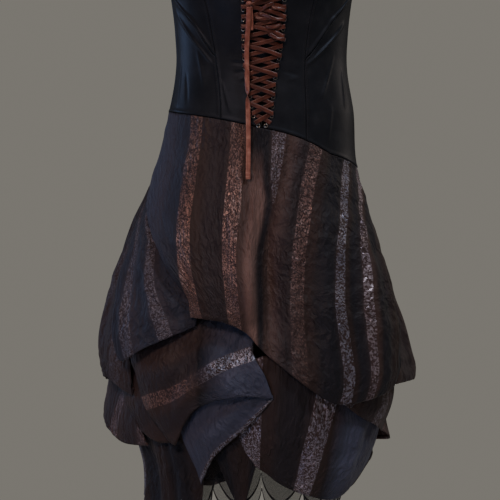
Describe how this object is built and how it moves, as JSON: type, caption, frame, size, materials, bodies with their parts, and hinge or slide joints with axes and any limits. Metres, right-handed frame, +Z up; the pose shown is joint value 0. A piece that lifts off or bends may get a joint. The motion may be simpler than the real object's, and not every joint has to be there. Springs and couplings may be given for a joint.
{
  "type": "corset dress",
  "caption": "Strapless corset dress, worn pose: laced faux-leather bodice on a slanted low waist seam, with a striped taffeta skirt caught up in puffs over a petal-hemmed net underskirt.",
  "frame": {"origin": "centre of the waist, on the wearer's upright line, at the narrowest height of the bodice", "axes": "+Z up the wearer; the laced front faces -Y; +X is the side seen on the right from the front"},
  "size_m": [0.4823, 0.3918, 0.8711],
  "materials": {
    "bodice_leather": "black coated faux leather, semi-matt",
    "lace_satin": "copper-brown satin ribbon",
    "skirt_taffeta": "dark brown crinkled taffeta with lengthwise metallic stripes",
    "underskirt_net": "sheer black organza"
  },
  "bodies": {
    "root": {"centre_front_left": "bodice_leather", "centre_front_right": "bodice_leather", "cup_left": "bodice_leather", "cup_right": "bodice_leather", "side_front_left": "bodice_leather", "side_front_right": "bodice_leather", "side_back_left": "bodice_leather", "side_back_right": "bodice_leather", "back_left": "bodice_leather", "back_right": "bodice_leather", "modesty_panel": "bodice_leather", "lace_over": "lace_satin", "lace_under": "lace_satin", "lace_knot": "lace_satin", "lace_tail_long": "lace_satin", "lace_tail_short": "lace_satin", "lace_end_left": "lace_satin", "lace_end_right": "lace_satin", "front_drape": "skirt_taffeta", "left_puff": "skirt_taffeta", "rear_left_puff": "skirt_taffeta", "back_puff": "skirt_taffeta", "rear_right_puff": "skirt_taffeta", "left_flap": "skirt_taffeta", "turned_hem": "skirt_taffeta", "left_band": "skirt_taffeta", "rear_left_flap": "skirt_taffeta", "left_fall": "skirt_taffeta", "front_fall": "skirt_taffeta", "front_panel": "skirt_taffeta", "right_fold": "skirt_taffeta", "right_flap": "skirt_taffeta", "right_under_flap": "skirt_taffeta", "lower_back_left": "skirt_taffeta", "lower_back_right": "skirt_taffeta", "underskirt_front": "underskirt_net", "underskirt_back": "underskirt_net"}
  },
  "joints": []
}
